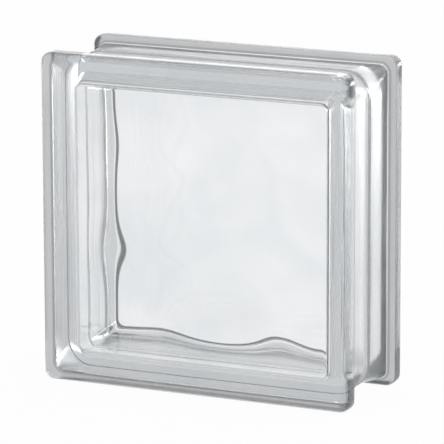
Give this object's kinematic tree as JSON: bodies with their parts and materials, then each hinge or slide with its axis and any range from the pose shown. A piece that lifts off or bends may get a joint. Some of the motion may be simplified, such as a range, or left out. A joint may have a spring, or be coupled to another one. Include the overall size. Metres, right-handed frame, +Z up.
{
  "type": "glass block",
  "caption": "Square hollow building block of clear glass with wavy panes, rounded face flanges and a mortar channel on every side, for light walls and partitions.",
  "frame": {"origin": "centre of the underside, on the surface that the block stands on", "axes": "+X across the face, +Y from the front face to the rear face, +Z up"},
  "size_m": [0.19, 0.08, 0.19],
  "materials": {
    "clear_glass": "clear, fire polished"
  },
  "bodies": {
    "root": {"glass_block": "clear_glass"}
  },
  "joints": []
}
